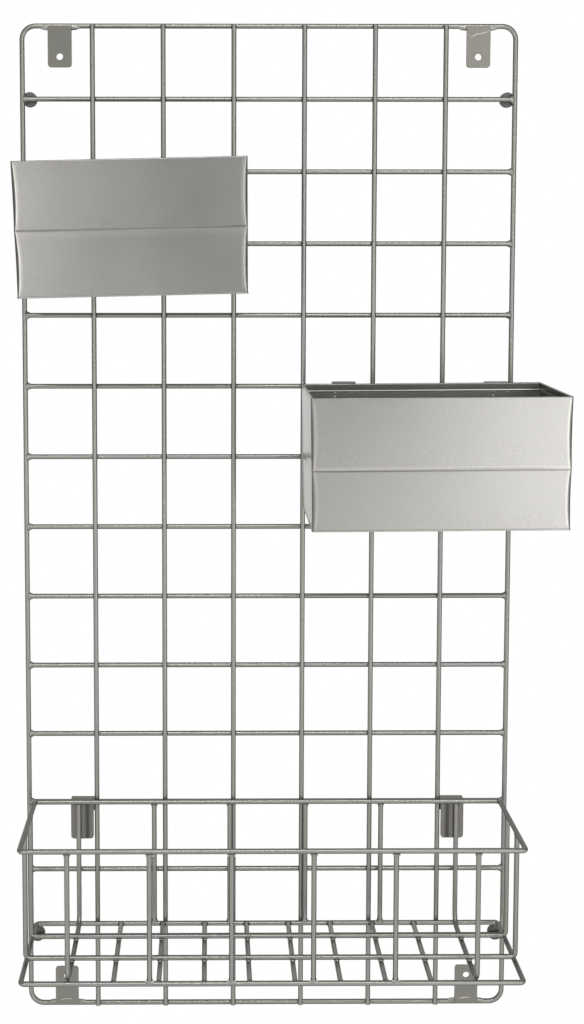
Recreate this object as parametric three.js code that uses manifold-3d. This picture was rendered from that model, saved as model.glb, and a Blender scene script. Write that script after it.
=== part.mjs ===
// Wall organizer of welded wire: a tall grid panel with screw tabs and wall spacers, a wire basket that
// hooks over a low grid wire, and two sheet-metal bins that hook over wires higher up.
// Millimetres, +Z up. The wall is the plane Y = 0, the front faces -Y, and X = Z = 0 is the panel's middle.
import * as THREE from "three";
import { mergeVertices } from "three/addons/utils/BufferGeometryUtils.js";
import Module from "manifold-3d";

const wasm = await Module();
wasm.setup();

// Stock and fits
const wire = 4.5; // every wire, across the flats
const wireSides = 12;
const bendSteps = 6; // straight stretches in one bend
const strip = 2; // thickness of the tabs and hooks
const sheet = 1; // thickness of the bins' walls
const clearance = 0.3; // from a hung piece to what it slides past
const seamGap = 0.1; // between sheet pieces that are seamed together
const roundGap = 0.2; // between round wires that meet sideways on
const seatGap = 0.05; // between a hook and the wire that carries it

// Grid panel
const panelWidth = 444.5; // frame wire centre to centre
const panelHeight = 910;
const columns = 7;
const rows = 14;
const frameCorner = 12; // radius of the frame wire's centre line
const endSetBack = 2.3; // of the uprights' ends and the tabs, inside the frame wire's outer side

// Screw tabs
const tabWidth = 21.5;
const tabLength = 37.2;
const tabInset = 34.25; // from the frame wire's side to the tab's middle
const tabHole = 6;
const tabHoleDown = 27.7; // from the tab's outer edge
const tabCorner = 3;

// Wall spacers
const spacerThickness = 6;
const spacerDiameter = 13.5;
const spacerInset = 6; // from the frame wire's centre towards the panel's middle
const spacerChamfer = 0.6;
const spacerRow = 1; // rows in from the top and the bottom

// Basket
const basketLength = 432; // rim centre to rim centre
const basketDepth = 104;
const basketHeight = 116.5;
const basketRow = 11; // the cross wire that it hangs on, counted from the top
const basketRimUp = 3.2; // rim centre above that wire's centre
const rimCorner = 4;
const endHoopInset = 40.5; // from the rim's end
const floorWireCount = 10; // the outermost two belong to the end hoops
const basketUprightCount = 6; // front and rear alike, the outermost two belong to the end hoops
const longHoopCorner = 4;
const longHoopPlaces = [0.31, 0.67]; // shares of the depth, from the rear
const basketHookGap = 0.8; // from the last upright
const basketHookLength = 37;

// Bins
const binHeight = 112.5;
const binDepth = 110;
const binHookLength = 26;
const hemHeight = 6.5;
const creaseDepth = 0.6;
const creaseHalfWidth = 1.6;
const binFrontCorner = 3.2;
const binBackCorner = 1.6;
const sharpestCorner = 0.4; // inside the back corners
const panThickness = 1.2;
const panLip = 0.5;
const upperBinWidth = 194;
const upperBinTaper = 2; // of each side, from the rim to the bottom
const upperRimUp = 5; // rim above the centre of the wire that the bin hangs on
const upperCreaseDown = 57.5; // from the rim
const upperHookGap = 8; // from the first upright to the left hook
const lowerBinWidth = 218;
const lowerBinTaper = 1.2;
const lowerRimUp = 3.9;
const lowerCreaseDown = 60.8;
const lowerHookGap = 0.5; // from the frame wire to the right hook

// Hooks
const hookWidth = 21;
const hookDrop = 12; // how far the rear leg reaches below the wire's top
const hookBend = 2;
const hookCorner = 3;

// Distances out from the wall
const crossOut = spacerThickness + wire / 2;
const uprightOut = crossOut + wire;
const hungOut = uprightOut + wire / 2 + clearance; // back of whatever hangs in front of the grid

// Grid
const halfWidth = panelWidth / 2;
const halfHeight = panelHeight / 2;
const frontEnd = halfHeight + wire / 2 - endSetBack;
const columnPitch = panelWidth / columns;
const rowPitch = panelHeight / rows;

// Each bin's outer hook hangs just left of a grid wire, and its two hooks are some columns apart.
const upperBin = {
  name: "upper_bin",
  row: 2,
  width: upperBinWidth,
  taper: upperBinTaper,
  roll: 1.3,
  rimUp: upperRimUp,
  creaseDown: upperCreaseDown,
  outerSide: -1,
  besideColumn: 1,
  hookGap: upperHookGap,
  hookColumns: 1.89,
};
const lowerBin = {
  name: "lower_bin",
  row: 5,
  width: lowerBinWidth,
  taper: lowerBinTaper,
  roll: 0.4,
  rimUp: lowerRimUp,
  creaseDown: lowerCreaseDown,
  outerSide: 1,
  besideColumn: columns,
  hookGap: lowerHookGap,
  hookColumns: 2.205,
};

const xAxis = new THREE.Vector3(1, 0, 0);
const yAxis = new THREE.Vector3(0, 1, 0);
const zAxis = new THREE.Vector3(0, 0, 1);

const wirePaint = { color: 0x8c8a81, roughness: 0.42, metalness: 0.65 };
const sheetPaint = { color: 0xb3b2ab, roughness: 0.38, metalness: 0.65 };
const spacerPaint = { color: 0x55544f, roughness: 0.6, metalness: 0.2 };

function toSolid(geometry) {
  const bare = geometry.clone();
  bare.deleteAttribute("normal");
  bare.deleteAttribute("uv");
  const merged = mergeVertices(bare, 1e-4);
  const mesh = new wasm.Mesh({
    numProp: 3,
    vertProperties: merged.attributes.position.array,
    triVerts: new Uint32Array(merged.index.array),
  });
  return new wasm.Manifold(mesh);
}

function toGeometry(solid) {
  const mesh = solid.getMesh();
  const geometry = new THREE.BufferGeometry();
  geometry.setAttribute("position", new THREE.BufferAttribute(mesh.vertProperties, 3));
  geometry.setIndex(new THREE.BufferAttribute(mesh.triVerts, 1));
  geometry.computeVertexNormals();
  return geometry;
}

function piece(name, geometry, paint) {
  const mesh = new THREE.Mesh(geometry, new THREE.MeshStandardMaterial(paint));
  mesh.name = name;
  return mesh;
}

// A path through the corner points with each corner bent to the radius.
function bentPath(corners, radius, closed = false) {
  const count = corners.length;
  const path = [];
  corners.forEach((corner, i) => {
    if (!closed && (i === 0 || i === count - 1)) {
      path.push(corner.clone());
      return;
    }
    const back = corners[(i + count - 1) % count].clone().sub(corner).normalize();
    const ahead = corners[(i + 1) % count].clone().sub(corner).normalize();
    const half = back.angleTo(ahead) / 2;
    const middle = back.clone().add(ahead).normalize();
    const centre = corner.clone().addScaledVector(middle, radius / Math.sin(half));
    const start = corner.clone().addScaledVector(back, radius / Math.tan(half)).sub(centre);
    const turnAxis = new THREE.Vector3().crossVectors(ahead, back).normalize();
    const turn = Math.PI - 2 * half;
    for (let k = 0; k <= bendSteps; k++) {
      const arm = start.clone().applyAxisAngle(turnAxis, (turn * k) / bendSteps);
      path.push(centre.clone().add(arm));
    }
  });
  return path;
}

// Carries a section along a path that lies in the plane across `normal`. The section's first number runs
// sideways in that plane and its second along the normal.
function sweep(section, path, normal, closed = false) {
  const count = path.length;
  const around = section.length;
  const positions = [];
  const faces = [];
  path.forEach((point, i) => {
    const before = closed || i > 0 ? path[(i + count - 1) % count] : null;
    const after = closed || i < count - 1 ? path[(i + 1) % count] : null;
    const incoming = before ? point.clone().sub(before).normalize() : after.clone().sub(point).normalize();
    const outgoing = after ? after.clone().sub(point).normalize() : incoming;
    const along = incoming.clone().add(outgoing).normalize();
    const side = new THREE.Vector3().crossVectors(along, normal);
    const mitre = 1 / along.dot(outgoing);
    section.forEach(([across, up]) => {
      const corner = point.clone().addScaledVector(side, across * mitre).addScaledVector(normal, up);
      positions.push(corner.x, corner.y, corner.z);
    });
  });
  const links = closed ? count : count - 1;
  for (let i = 0; i < links; i++) {
    const here = i * around;
    const next = ((i + 1) % count) * around;
    for (let k = 0; k < around; k++) {
      const m = (k + 1) % around;
      faces.push(here + k, next + k, next + m);
      faces.push(here + k, next + m, here + m);
    }
  }
  if (!closed) {
    const last = (count - 1) * around;
    for (let k = 1; k < around - 1; k++) {
      faces.push(0, k, k + 1);
      faces.push(last, last + k + 1, last + k);
    }
  }
  const geometry = new THREE.BufferGeometry();
  geometry.setAttribute("position", new THREE.Float32BufferAttribute(positions, 3));
  geometry.setIndex(faces);
  const faceted = geometry.toNonIndexed();
  faceted.computeVertexNormals();
  return faceted;
}

// The wire's outline has flats that face both ways along both of its axes.
function wireSection() {
  const radius = wire / 2 / Math.cos(Math.PI / wireSides);
  const section = [];
  for (let k = 0; k < wireSides; k++) {
    const angle = (2 * Math.PI * (k + 0.5)) / wireSides;
    section.push([radius * Math.cos(angle), radius * Math.sin(angle)]);
  }
  return section;
}

function stripSection(width) {
  return [
    [strip / 2, width / 2],
    [-strip / 2, width / 2],
    [-strip / 2, -width / 2],
    [strip / 2, -width / 2],
  ];
}

const at = (x, y, z) => new THREE.Vector3(x, y, z);

function straightWire(from, to, normal) {
  return sweep(wireSection(), [from, to], normal);
}

function bentWire(corners, radius, normal, closed = false) {
  return sweep(wireSection(), bentPath(corners, radius, closed), normal, closed);
}

// An upright plate in the XZ plane between two heights with its lower corners rounded, its middle at Y = 0.
function roundedPlate(width, thickness, top, bottom, corner) {
  const half = width / 2;
  const outline = new THREE.Shape();
  outline.moveTo(-half, top);
  outline.lineTo(-half, bottom + corner);
  outline.absarc(-half + corner, bottom + corner, corner, Math.PI, 1.5 * Math.PI, false);
  outline.absarc(half - corner, bottom + corner, corner, 1.5 * Math.PI, 2 * Math.PI, false);
  outline.lineTo(half, top);
  outline.closePath();
  const plate = new THREE.ExtrudeGeometry(outline, { depth: thickness, bevelEnabled: false, curveSegments: 6 });
  plate.translate(0, 0, -thickness / 2);
  plate.rotateX(Math.PI / 2);
  return toSolid(plate);
}

// Grid panel
function frameLoop() {
  const y = -crossOut;
  const corners = [
    at(-halfWidth, y, -halfHeight),
    at(halfWidth, y, -halfHeight),
    at(halfWidth, y, halfHeight),
    at(-halfWidth, y, halfHeight),
  ];
  return bentWire(corners, frameCorner, yAxis, true);
}

function rowHeight(row) {
  return halfHeight - row * rowPitch;
}

function columnX(column) {
  return column * columnPitch - halfWidth;
}

function panelUpright(column) {
  const x = columnX(column);
  return straightWire(at(x, -uprightOut, -frontEnd), at(x, -uprightOut, frontEnd), yAxis);
}

function panelCrossWire(row) {
  const end = halfWidth - wire / 2;
  const z = rowHeight(row);
  return straightWire(at(-end, -crossOut, z), at(end, -crossOut, z), yAxis);
}

// A flat plate on the frame wire's front, measured down from its outer edge.
function screwTab() {
  const hole = new THREE.CylinderGeometry(tabHole / 2, tabHole / 2, 4 * strip, 24);
  hole.translate(0, 0, -tabHoleDown);
  return toGeometry(roundedPlate(tabWidth, strip, 0, -tabLength, tabCorner).subtract(toSolid(hole)));
}

function wallSpacer() {
  const radius = spacerDiameter / 2;
  const profile = [
    new THREE.Vector2(0, 0),
    new THREE.Vector2(radius - spacerChamfer, 0),
    new THREE.Vector2(radius, spacerChamfer),
    new THREE.Vector2(radius, spacerThickness - spacerChamfer),
    new THREE.Vector2(radius - spacerChamfer, spacerThickness),
    new THREE.Vector2(0, spacerThickness),
  ];
  const disc = new THREE.LatheGeometry(profile, 36);
  disc.translate(0, -spacerThickness, 0);
  return disc;
}

function gridPanel() {
  const panel = new THREE.Group();
  const tabOut = crossOut + wire / 2 + strip / 2;
  panel.add(piece("frame_loop", frameLoop(), wirePaint));
  for (let column = 1; column < columns; column++) {
    panel.add(piece(`upright_${column}`, panelUpright(column), wirePaint));
  }
  for (let row = 1; row < rows; row++) {
    panel.add(piece(`cross_wire_${row}`, panelCrossWire(row), wirePaint));
  }
  for (const [sideName, side] of [["left", -1], ["right", 1]]) {
    for (const [endName, end] of [["top", 1], ["bottom", -1]]) {
      const tab = piece(`screw_tab_${endName}_${sideName}`, screwTab(), wirePaint);
      tab.position.set(side * (halfWidth - tabInset), -tabOut, end * frontEnd);
      tab.rotation.y = end > 0 ? 0 : Math.PI;
      panel.add(tab);
      const spacer = piece(`wall_spacer_${endName}_${sideName}`, wallSpacer(), spacerPaint);
      spacer.position.set(side * (halfWidth - spacerInset), 0, end * rowHeight(spacerRow));
      panel.add(spacer);
    }
  }
  return panel;
}

// A hook in a frame whose origin is the centre of the wire that it hangs on, with its front face at -out.
function hook(length, out) {
  const top = wire / 2 + seatGap + strip / 2;
  const front = strip / 2 - out;
  const rear = wire / 2 + clearance + strip / 2;
  const bottom = top + strip / 2 - length;
  const corners = [
    at(0, front, bottom),
    at(0, front, top),
    at(0, rear, top),
    at(0, rear, wire / 2 - hookDrop),
  ];
  const bent = sweep(stripSection(hookWidth), bentPath(corners, hookBend), xAxis);
  const trim = roundedPlate(hookWidth, 2 * (out + strip), top + strip, bottom, hookCorner);
  return toGeometry(toSolid(bent).intersect(trim));
}

// From the middle of a grid wire to the middle of a hook beside it.
function besideWire(gap) {
  return wire / 2 + gap + hookWidth / 2;
}

// Hangs contents on a grid wire by two hooks that hold their back at `out` in front of the wire's centre, and
// leans it all out about that centre.
function hang(contents, { name, x, row, up, out, lean, hookX, hookLength }) {
  const group = new THREE.Group();
  contents.position.set(0, -out, up);
  group.add(contents);
  for (const [sideName, side] of [["left", -1], ["right", 1]]) {
    const hung = piece(`${name}_hook_${sideName}`, hook(hookLength, out), wirePaint);
    hung.position.x = side * hookX;
    group.add(hung);
  }
  group.rotation.x = lean;
  group.position.set(x, -crossOut, rowHeight(row));
  return group;
}

// The basket's frame has its origin on the rim's back, at the height of the rim's centre.
function basket() {
  const group = new THREE.Group();
  const half = basketLength / 2;
  const rear = -wire / 2;
  const front = rear - basketDepth;
  const floor = -basketHeight;
  const add = (name, geometry) => group.add(piece(`basket_${name}`, geometry, wirePaint));

  for (const [name, z] of [["top_rim", 0], ["bottom_rim", floor]]) {
    const corners = [at(-half, front, z), at(half, front, z), at(half, rear, z), at(-half, rear, z)];
    add(name, bentWire(corners, rimCorner, zAxis, true));
  }

  // The end hoops bend round the inside of the bottom rim.
  const endX = half - endHoopInset;
  const hoopBend = (wire + roundGap) / (Math.SQRT2 - 1);
  for (const [name, x] of [["left", -endX], ["right", endX]]) {
    const corners = [at(x, rear, -wire / 2), at(x, rear, floor), at(x, front, floor), at(x, front, -wire / 2)];
    add(`end_hoop_${name}`, bentWire(corners, hoopBend, xAxis));
  }

  const floorPitch = (2 * endX) / (floorWireCount - 1);
  for (let i = 1; i < floorWireCount - 1; i++) {
    const x = i * floorPitch - endX;
    add(`floor_wire_${i}`, straightWire(at(x, rear - wire / 2, floor), at(x, front + wire / 2, floor), xAxis));
  }

  const uprightPitch = (2 * endX) / (basketUprightCount - 1);
  for (const [name, y] of [["rear", rear], ["front", front]]) {
    for (let i = 1; i < basketUprightCount - 1; i++) {
      const x = i * uprightPitch - endX;
      add(`${name}_upright_${i}`, straightWire(at(x, y, -wire / 2), at(x, y, floor + wire / 2), xAxis));
    }
  }

  // The long hoops lie on the floor wires.
  ["rear", "front"].forEach((name, i) => {
    const y = rear - basketDepth * longHoopPlaces[i];
    const low = floor + wire;
    const corners = [at(-half, y, -wire / 2), at(-half, y, low), at(half, y, low), at(half, y, -wire / 2)];
    add(`long_hoop_${name}`, bentWire(corners, longHoopCorner, yAxis));
  });

  return hang(group, {
    name: "basket",
    x: 0,
    row: basketRow,
    up: basketRimUp,
    out: hungOut - crossOut,
    lean: 0,
    hookX: columnX(columns - 1) + besideWire(basketHookGap),
    hookLength: basketHookLength,
  });
}

// A solid with the plan of a bin, built from [height, inset, side inset] levels. Its back lies at Y = -inset.
function binSolid(width, depth, inset, levels) {
  const half = width / 2 - inset;
  const back = -inset;
  const front = inset - depth;
  const wide = binFrontCorner - inset;
  const tight = Math.max(binBackCorner - inset, sharpestCorner);
  const plan = new THREE.Shape();
  plan.absarc(half - wide, front + wide, wide, -Math.PI / 2, 0, false);
  plan.absarc(half - tight, back - tight, tight, 0, Math.PI / 2, false);
  plan.absarc(tight - half, back - tight, tight, Math.PI / 2, Math.PI, false);
  plan.absarc(wide - half, front + wide, wide, Math.PI, 1.5 * Math.PI, false);
  plan.closePath();
  const steps = levels.length - 1;
  const body = new THREE.ExtrudeGeometry(plan, { depth: steps, steps, bevelEnabled: false, curveSegments: 5 });
  const positions = body.attributes.position;
  const middle = (front + back) / 2;
  for (let i = 0; i < positions.count; i++) {
    const [height, extra, sideExtra] = levels[Math.round(positions.getZ(i))];
    const x = positions.getX(i);
    const y = positions.getY(i);
    positions.setX(i, x - Math.sign(x) * (extra + sideExtra));
    positions.setY(i, y < middle ? y + extra : y);
    positions.setZ(i, height);
  }
  return toSolid(body);
}

function binShell({ width, taper, creaseDown }) {
  const low = panThickness + seamGap - binHeight;
  const level = (z, inset) => [z, inset, (-z * taper) / binHeight];
  const crease = [
    level(-creaseDown - creaseHalfWidth, 0),
    level(-creaseDown, creaseDepth),
    level(-creaseDown + creaseHalfWidth, 0),
  ];
  const outside = binSolid(width, binDepth, 0, [level(low, 0), ...crease, level(0, 0)]);
  const hem = [level(-hemHeight - sheet, 0), level(-hemHeight, sheet), level(sheet, sheet)];
  const inside = binSolid(width, binDepth, sheet, [level(low - sheet, 0), ...crease, ...hem]);
  return toGeometry(outside.subtract(inside));
}

function binPan({ width, taper }) {
  const bottom = [-binHeight, 0, taper];
  const top = [panThickness - binHeight, 0, taper];
  return toGeometry(binSolid(width + 2 * panLip, binDepth + panLip, 0, [bottom, top]));
}

// A bin's frame has its origin on the back wall's outer face, in the middle of the rim. The shell and pan
// are turned a little against the hooks, which hang level. The hooks hold the rim their own thickness further
// out than the bottom edge, which leans on the uprights.
function bin(size) {
  const box = new THREE.Group();
  box.rotation.y = THREE.MathUtils.degToRad(-size.roll);
  box.add(piece(`${size.name}_shell`, binShell(size), sheetPaint));
  box.add(piece(`${size.name}_pan`, binPan(size), sheetPaint));
  const hookX = (size.hookColumns * columnPitch) / 2;
  const outerHookX = columnX(size.besideColumn) - besideWire(size.hookGap);
  const lean = Math.asin(strip / (binHeight - size.rimUp));
  return hang(box, {
    name: size.name,
    x: outerHookX - size.outerSide * hookX,
    row: size.row,
    up: size.rimUp,
    out: (hungOut - crossOut + strip) / Math.cos(lean),
    lean,
    hookX,
    hookLength: binHookLength,
  });
}

const organizer = new THREE.Group();
organizer.add(gridPanel());
organizer.add(basket());
organizer.add(bin(upperBin));
organizer.add(bin(lowerBin));

export default organizer;
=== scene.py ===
import math

import bmesh
import bpy
from mathutils import Matrix, Vector


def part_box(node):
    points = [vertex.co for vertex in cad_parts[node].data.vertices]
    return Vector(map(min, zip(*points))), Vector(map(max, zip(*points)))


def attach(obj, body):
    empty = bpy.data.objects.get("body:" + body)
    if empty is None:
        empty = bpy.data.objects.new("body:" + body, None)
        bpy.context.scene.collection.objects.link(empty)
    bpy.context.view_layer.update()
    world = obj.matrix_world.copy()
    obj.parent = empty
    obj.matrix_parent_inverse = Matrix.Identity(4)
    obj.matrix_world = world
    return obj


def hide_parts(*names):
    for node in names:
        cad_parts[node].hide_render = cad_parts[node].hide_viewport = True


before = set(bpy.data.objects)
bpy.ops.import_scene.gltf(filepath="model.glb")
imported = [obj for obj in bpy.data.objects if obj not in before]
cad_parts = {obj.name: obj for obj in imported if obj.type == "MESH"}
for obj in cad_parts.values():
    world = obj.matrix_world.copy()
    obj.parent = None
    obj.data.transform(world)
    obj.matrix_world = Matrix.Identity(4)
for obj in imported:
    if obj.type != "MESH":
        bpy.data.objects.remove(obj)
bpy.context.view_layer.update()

MM = 0.001
X, Y, Z = range(3)
X_AXIS = Vector((1, 0, 0))
Y_AXIS = Vector((0, 1, 0))
Z_AXIS = Vector((0, 0, 1))

# Wires and strips
WIRE = 4.5 * MM
STRIP = 2 * MM
ROUND_GAP = 0.2 * MM
WIRE_SIDES = 20
BEND_STEPS = 8
FRAME_CORNER = 12 * MM
RIM_CORNER = 4 * MM
LONG_HOOP_CORNER = 4 * MM
END_HOOP_BEND = (WIRE + ROUND_GAP) / (math.sqrt(2) - 1)  # leaves room for one wire outside the bend

# The solids' names
ENDS = ("top", "bottom")
SIDES = ("left", "right")
UPRIGHTS = [f"upright_{i}" for i in range(1, 7)]
CROSS_WIRES = [f"cross_wire_{i}" for i in range(1, 14)]
TABS = [f"screw_tab_{end}_{side}" for end in ENDS for side in SIDES]
SPACERS = [f"wall_spacer_{end}_{side}" for end in ENDS for side in SIDES]
RIMS = ["basket_top_rim", "basket_bottom_rim"]
END_HOOPS = [f"basket_end_hoop_{side}" for side in SIDES]
LONG_HOOPS = ["basket_long_hoop_rear", "basket_long_hoop_front"]
FLOOR_WIRES = [f"basket_floor_wire_{i}" for i in range(1, 9)]
REAR_UPRIGHTS = [f"basket_rear_upright_{i}" for i in range(1, 5)]
FRONT_UPRIGHTS = [f"basket_front_upright_{i}" for i in range(1, 5)]
BASKET_HOOKS = [f"basket_hook_{side}" for side in SIDES]

# Softened edges of the strips, pans and discs
EDGE_STEPS = 3
EDGE_ANGLE = 35
TAB_EDGE = 0.7 * MM
SPACER_EDGE = 0.3 * MM
PAN_EDGE = 0.3 * MM
BIN_HOOK_EDGE = 0.35 * MM
BASKET_HOOK_EDGE = 0.4 * MM

# Points that are no further apart than this become one
GROWN_MERGE = 0.001 * MM
SHEET_MERGE = 0.002 * MM
SOLID_MERGE = 0.005 * MM

# Angles in degrees: faces that turn less become one, and edges that turn more are shaded sharp
FLAT_ANGLE = 1
SHARP_ANGLE = 40
SHEET_SHARP_ANGLE = 50

# Flared welds, as (how far they spread, how far they reach along the wire that ends there)
PANEL_FLARE = (2.6 * MM, 4.2 * MM)
BASKET_FLARE = (2.0 * MM, 3.6 * MM)
FLARE_SUNK = 1.2 * MM
FLARE_FLATNESS = 0.62
FLARE_STEPS = 7
FLARE_SIDES = 16

# Rounded welds, as their half sizes
CROSSING_NUGGET = Vector((2.7, 1.3, 2.7)) * MM
FLOOR_NUGGET = Vector((2.7, 2.7, 1.3)) * MM
TAB_FILLET = Vector((7.5, 1.7, 2.6)) * MM
FRONT_WELD_SPOT = Vector((0.9, 0.5, 0.7)) * MM
SPOT_WELD = Vector((1.0, 0.45, 1.0)) * MM
BEAD_HALF_DEPTH = 0.5 * MM
BEAD_HALF_HEIGHT = 0.45 * MM
NUGGET_SUBDIVISIONS = 3

# Places of the welds
END_WELD_IN = 0.9 * MM
FILLET_OUT = 0.9 * MM
FILLET_IN = 1.3 * MM
FRONT_WELD_SPOT_OFFSET = (2.7, -1.7, 0.8)  # across, out and along from the upright's end, in mm

# Welds on a tab's front as (across from its left edge, along from its outer edge, half length) in mm
LOW_BEADS = [(6.0, 5.4, 1.3), (8.4, 6.0, 1.5), (11.0, 6.2, 1.5), (13.4, 6.0, 1.3)]
TAB_BEADS = {
    "screw_tab_top_right": [
        (4.6, 10.3, 1.4),
        (6.4, 9.1, 1.7),
        (8.8, 7.7, 1.9),
        (11.6, 7.1, 2.0),
        (14.6, 6.6, 2.0),
        (17.4, 5.9, 1.9),
        (19.8, 4.8, 1.5),
    ],
    "screw_tab_bottom_left": LOW_BEADS,
    "screw_tab_bottom_right": LOW_BEADS,
}

# Spot welds on the left and the right hook as (across from the hook's middle, down from the rim) in mm
SPOT_WELD_PLACES = (
    ((-8.6, 8.3), (-8.6, 12.0), (6.5, 8.4)),
    ((-3.4, 8.2), (-4.6, 12.0), (8.6, 8.4)),
)

# Hooks: the rounding of their outer bends, and the upright groove in the basket's hooks
HOOK_BEND = 1.7 * MM
HOOK_BEND_STEPS = 5
HOOK_TOP_DEPTH = 0.9 * MM  # how far down from its top a hook's outer bends may lie
HOOK_SLACK = 0.1 * MM
LEAST_BEND_LENGTH = 5 * MM
GROOVE_IN = 4.7 * MM
GROOVE_HALF_WIDTH = 3.8 * MM
GROOVE_DEPTH = 0.3 * MM
GROOVE_CUTS = 4
ON_CUT = 0.001 * MM  # a point no further than this from a cut lies on it
PRESSED_DEPTH = 0.05 * MM  # how far back a point still lies on the hook's front, and is pressed in
SHADED_DEPTH = 0.5 * MM  # how far back a point may lie and be darkened with the groove

# Bins, each in a frame with its origin on the back wall's outer face in the middle of the rim
BIN_HEIGHT = 112.5 * MM
BIN_DEPTH = 110 * MM
PAN_THICKNESS = 1.2 * MM
WALL_BOTTOM = BIN_HEIGHT - PAN_THICKNESS
SHEET = 1 * MM
BACK_CORNER = 1.6 * MM
FRONT_CORNER = 1.5 * MM
FRONT_CORNER_SWELL = 2.3 * MM
LEAST_CORNER = 0.5 * MM
CREASE_DEPTH = 0.2 * MM
CREASE_HALF_WIDTH = 1.5 * MM
CREASE_REACH = 3 * MM
CREASE_FADE = 1 / 8  # the share of a wall over which the crease runs out at each end
RIM_ROLL = 0.6 * MM
ROLL_STEPS = 4

# Rows of points down a bin's walls: the steps above the crease, on each side of it, and below it
ROWS_ABOVE = 13
ROWS_NEAR = 10
ROWS_BELOW = 12
RIM_ROWS = [RIM_ROLL, 1.1 * MM]
SEAM_ROWS = [WALL_BOTTOM - 0.8 * MM, WALL_BOTTOM - 0.3 * MM, WALL_BOTTOM]
CORNER_STEPS = 6

# The bins; `roll` is in degrees, and `band_side` is 1 where the painted highlight band is below the
# crease, else -1
BINS = {
    "upper_bin": {
        "x": -119.5 * MM,
        "wire": "cross_wire_2",
        "width": 194 * MM,
        "taper": 2 * MM,
        "roll": 1.3,
        "rim_up": 5 * MM,
        "crease_down": 57.5 * MM,
        "band_side": 1,
    },
    "lower_bin": {
        "x": 139 * MM,
        "wire": "cross_wire_5",
        "width": 218 * MM,
        "taper": 1.2 * MM,
        "roll": 0.4,
        "rim_up": 3.9 * MM,
        "crease_down": 60.8 * MM,
        "band_side": -1,
    },
}

# Left, front, right and back wall of a bin: how far each swells, and where along it there are points
WALL_SWELL = (0.15 * MM, 0.22 * MM, 0.15 * MM, 0.0)
WALL_NORMALS = (-X_AXIS, -Y_AXIS, X_AXIS, Y_AXIS)
WALL_SHARES = [[k / steps for k in range(1, steps)] for steps in (14, 36, 14, 20)]
EDGE_SHARES = [0.003, 0.009, 0.014]
WALL_SHARES[1] = EDGE_SHARES + WALL_SHARES[1] + [1 - share for share in reversed(EDGE_SHARES)]

# The hem, from its lip up to the rim, as (down from the rim, inset, share of the walls' swell)
HEM_HEIGHT = 6.9 * MM
HEM_CLEAR = HEM_HEIGHT + 1.2 * MM
HEM_RINGS = (
    (HEM_HEIGHT + 0.5 * MM, SHEET, 0.6),
    (HEM_HEIGHT + 0.5 * MM, 2.0 * SHEET, 0.3),
    (HEM_HEIGHT, 2.25 * SHEET, 0),
    (HEM_HEIGHT - 0.2 * MM, 2.3 * SHEET, 0),
    (HEM_HEIGHT - 0.7 * MM, 2 * SHEET, 0),
    (HEM_HEIGHT - 1.1 * MM, 2 * SHEET, 0),
    (1.2 * MM, 2 * SHEET, 0),
    (RIM_ROLL, 2 * SHEET, 0),
)

# Painted light and shade on the bins' sheet, carried by the `line` attribute: below 0 painted shade
# (rim, hem, front corners, bottom seam and crease), above 0 painted highlight (hem line, inside walls,
# beside the front corners and the band beside the crease)
PAINTED_LIGHT_TONES = {
    "rim": -1.0,
    "hem": -0.8,
    "hem line": 1.3,
    "inside": 0.4,
    "corner": -0.8,
    "bottom seam": -0.6,
    "crease": -1.0,
    "beside corner": 0.7,
    "band": 0.35,
    "plain": 0.0,
}
RIM_LINE = 0.9 * MM
HEM_LINE = (-1.0 * MM, 0.7 * MM)  # about the hem's height
SEAM_LINE = 0.7 * MM
CREASE_LINE = (-1.3, 0.3)  # about the crease, towards the light band, in mm
BAND_END = 3  # likewise
CORNER_LINE = 0.8  # as a share of the corner's radius
BESIDE_CORNER = 1.8 * MM  # on the front, from where the corner ends
BESIDE_CORNER_ENDS = 2 * MM  # its distance from the rim and from the bottom seam
FRONT_FACE = 0.5 * MM  # how far back a point still counts as on the front

# Camera
CAMERA_PLACE = (-54.1 * MM, -1213.4 * MM, 242.5 * MM)
CAMERA_PITCH = 0.0688
CAMERA_YAW = -0.0062
FOCAL_PIXELS = 1320.9
PRINCIPAL_PIXEL = (217.3, 354.1)
PICTURE = (584, 1024)
SENSOR = 36.0

# Stage and light, in metres; the floor grows white for the camera between SHADOW_NEAR and SHADOW_FAR
FLOOR_HEIGHT = -1.0
STAGE_REACH = 6.0
STAGE_BACK = 4.5
STAGE_TONES = (0.86, 0.9)
SHADOW_NEAR = 0.35
SHADOW_FAR = 0.85
SHADOW_WHITE = 0.5  # how much of the white the floor has up to SHADOW_NEAR
AIR_LIGHT = 0.3
LAMP_AIM = Vector((0, 0, 0))

# Name, place, width, height and power of each lamp
LAMPS = (
    ("right_softbox", (1.25, -2.55, 0.2), 1.2, 2.2, 16),
    ("right_strip", (2.2, -1.6, 0.2), 0.6, 2.2, 6),
    ("left_softbox", (-1.9, -2.2, 0.6), 1.4, 2.2, 2),
    ("left_panel", (-1.2, -2.5, 0.2), 1.0, 1.0, 8.6),
    ("top_softbox", (0, -2.0, 2.0), 1.6, 1.0, 29),
)

# Tones of paint, and the depth of its orange peel
PEEL_DEPTH = 0.1 * MM
PEWTER = (0.33, 0.324, 0.299)
TAB_PEWTER = (0.25, 0.243, 0.218)
# Painted shade: a darker pewter for the basket's hooks
HOOK_SHADED_PEWTER = (0.215, 0.207, 0.185)
# Painted highlight: a lighter pewter for the crossing and floor welds
WELD_HIGHLIGHT_PEWTER = (0.36, 0.352, 0.32)
# Painted highlight: the tab beads and weld spots
BEAD_HIGHLIGHT_TONE = (0.7, 0.69, 0.64)
SHEET_SILVER = (0.44, 0.43, 0.406)
# Painted shade: the spacers' pewter made dark
SPACER_SHADED_PEWTER = (0.15, 0.145, 0.132)

# Painted shade where a surface turns away from the camera: how far it is turned where its paint starts
# to darken, is darkest, and is light again
SOFT_TURN_SHADE = (0.1, 0.45, 0.75, 0.95)
WIRE_TURN_SHADE = (0.2, 0.52, 0.78, 0.95)


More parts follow.
